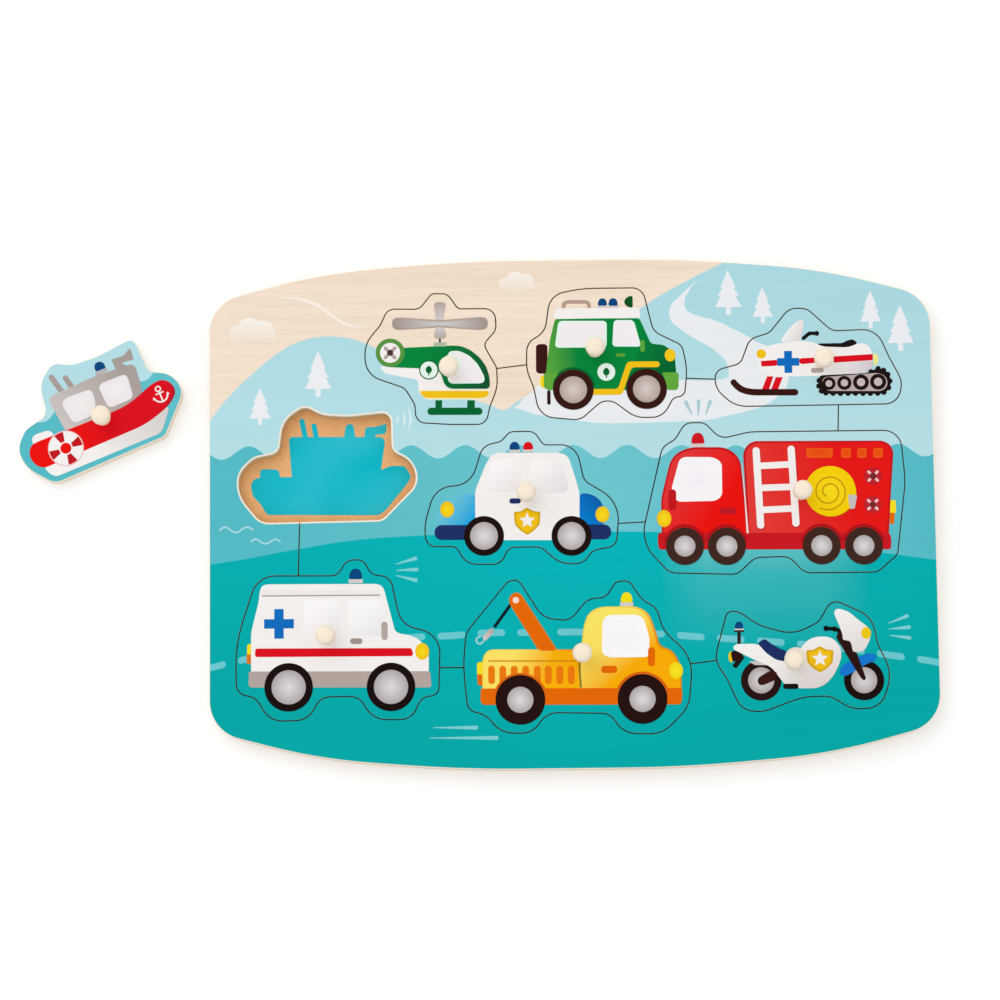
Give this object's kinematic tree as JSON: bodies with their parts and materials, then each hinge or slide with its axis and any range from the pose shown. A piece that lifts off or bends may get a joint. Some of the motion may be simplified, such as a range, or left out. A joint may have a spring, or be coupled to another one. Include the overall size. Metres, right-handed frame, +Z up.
{
  "type": "peg puzzle",
  "caption": "Wooden peg puzzle: printed plywood rescue vehicles with turned pegs lift out of a sawn face on a fibreboard base, with the boat lying loose beside the board.",
  "frame": {"origin": "centre of the board's underside, on the surface that it rests on", "axes": "+X along the board to the right of its picture, +Y to the top of the picture, +Z up out of the printed face"},
  "size_m": [0.3792, 0.212, 0.02],
  "materials": {
    "base": "medium density fibreboard, smooth and unpainted",
    "face": "light plywood, its face printed in blues and greens under a satin lacquer",
    "vehicle": "light plywood, its face printed with a vehicle under a satin lacquer",
    "peg": "turned pale hardwood, sanded and lacquered"
  },
  "bodies": {
    "board": {"base_board": "base", "face_frame": "face"},
    "helicopter": {"helicopter_piece": "vehicle", "helicopter_peg": "peg"},
    "off_roader": {"off_roader_piece": "vehicle", "off_roader_peg": "peg"},
    "snowmobile": {"snowmobile_piece": "vehicle", "snowmobile_peg": "peg"},
    "boat": {"boat_piece": "vehicle", "boat_peg": "peg"},
    "police_car": {"police_car_piece": "vehicle", "police_car_peg": "peg"},
    "fire_engine": {"fire_engine_piece": "vehicle", "fire_engine_peg": "peg"},
    "ambulance": {"ambulance_piece": "vehicle", "ambulance_peg": "peg"},
    "tow_truck": {"tow_truck_piece": "vehicle", "tow_truck_peg": "peg"},
    "motorcycle": {"motorcycle_piece": "vehicle", "motorcycle_peg": "peg"}
  },
  "joints": [
    {"name": "helicopter_lift", "type": "slide", "parent": "board", "child": "helicopter", "axis": [0, 0, 1], "range_m": [0, 0.03]},
    {"name": "off_roader_lift", "type": "slide", "parent": "board", "child": "off_roader", "axis": [0, 0, 1], "range_m": [0, 0.03]},
    {"name": "snowmobile_lift", "type": "slide", "parent": "board", "child": "snowmobile", "axis": [0, 0, 1], "range_m": [0, 0.03]},
    {"name": "boat_lift", "type": "slide", "parent": "board", "child": "boat", "axis": [0, 0, 1], "range_m": [0, 0.03]},
    {"name": "police_car_lift", "type": "slide", "parent": "board", "child": "police_car", "axis": [0, 0, 1], "range_m": [0, 0.03]},
    {"name": "fire_engine_lift", "type": "slide", "parent": "board", "child": "fire_engine", "axis": [0, 0, 1], "range_m": [0, 0.03]},
    {"name": "ambulance_lift", "type": "slide", "parent": "board", "child": "ambulance", "axis": [0, 0, 1], "range_m": [0, 0.03]},
    {"name": "tow_truck_lift", "type": "slide", "parent": "board", "child": "tow_truck", "axis": [0, 0, 1], "range_m": [0, 0.03]},
    {"name": "motorcycle_lift", "type": "slide", "parent": "board", "child": "motorcycle", "axis": [0, 0, 1], "range_m": [0, 0.03]}
  ]
}
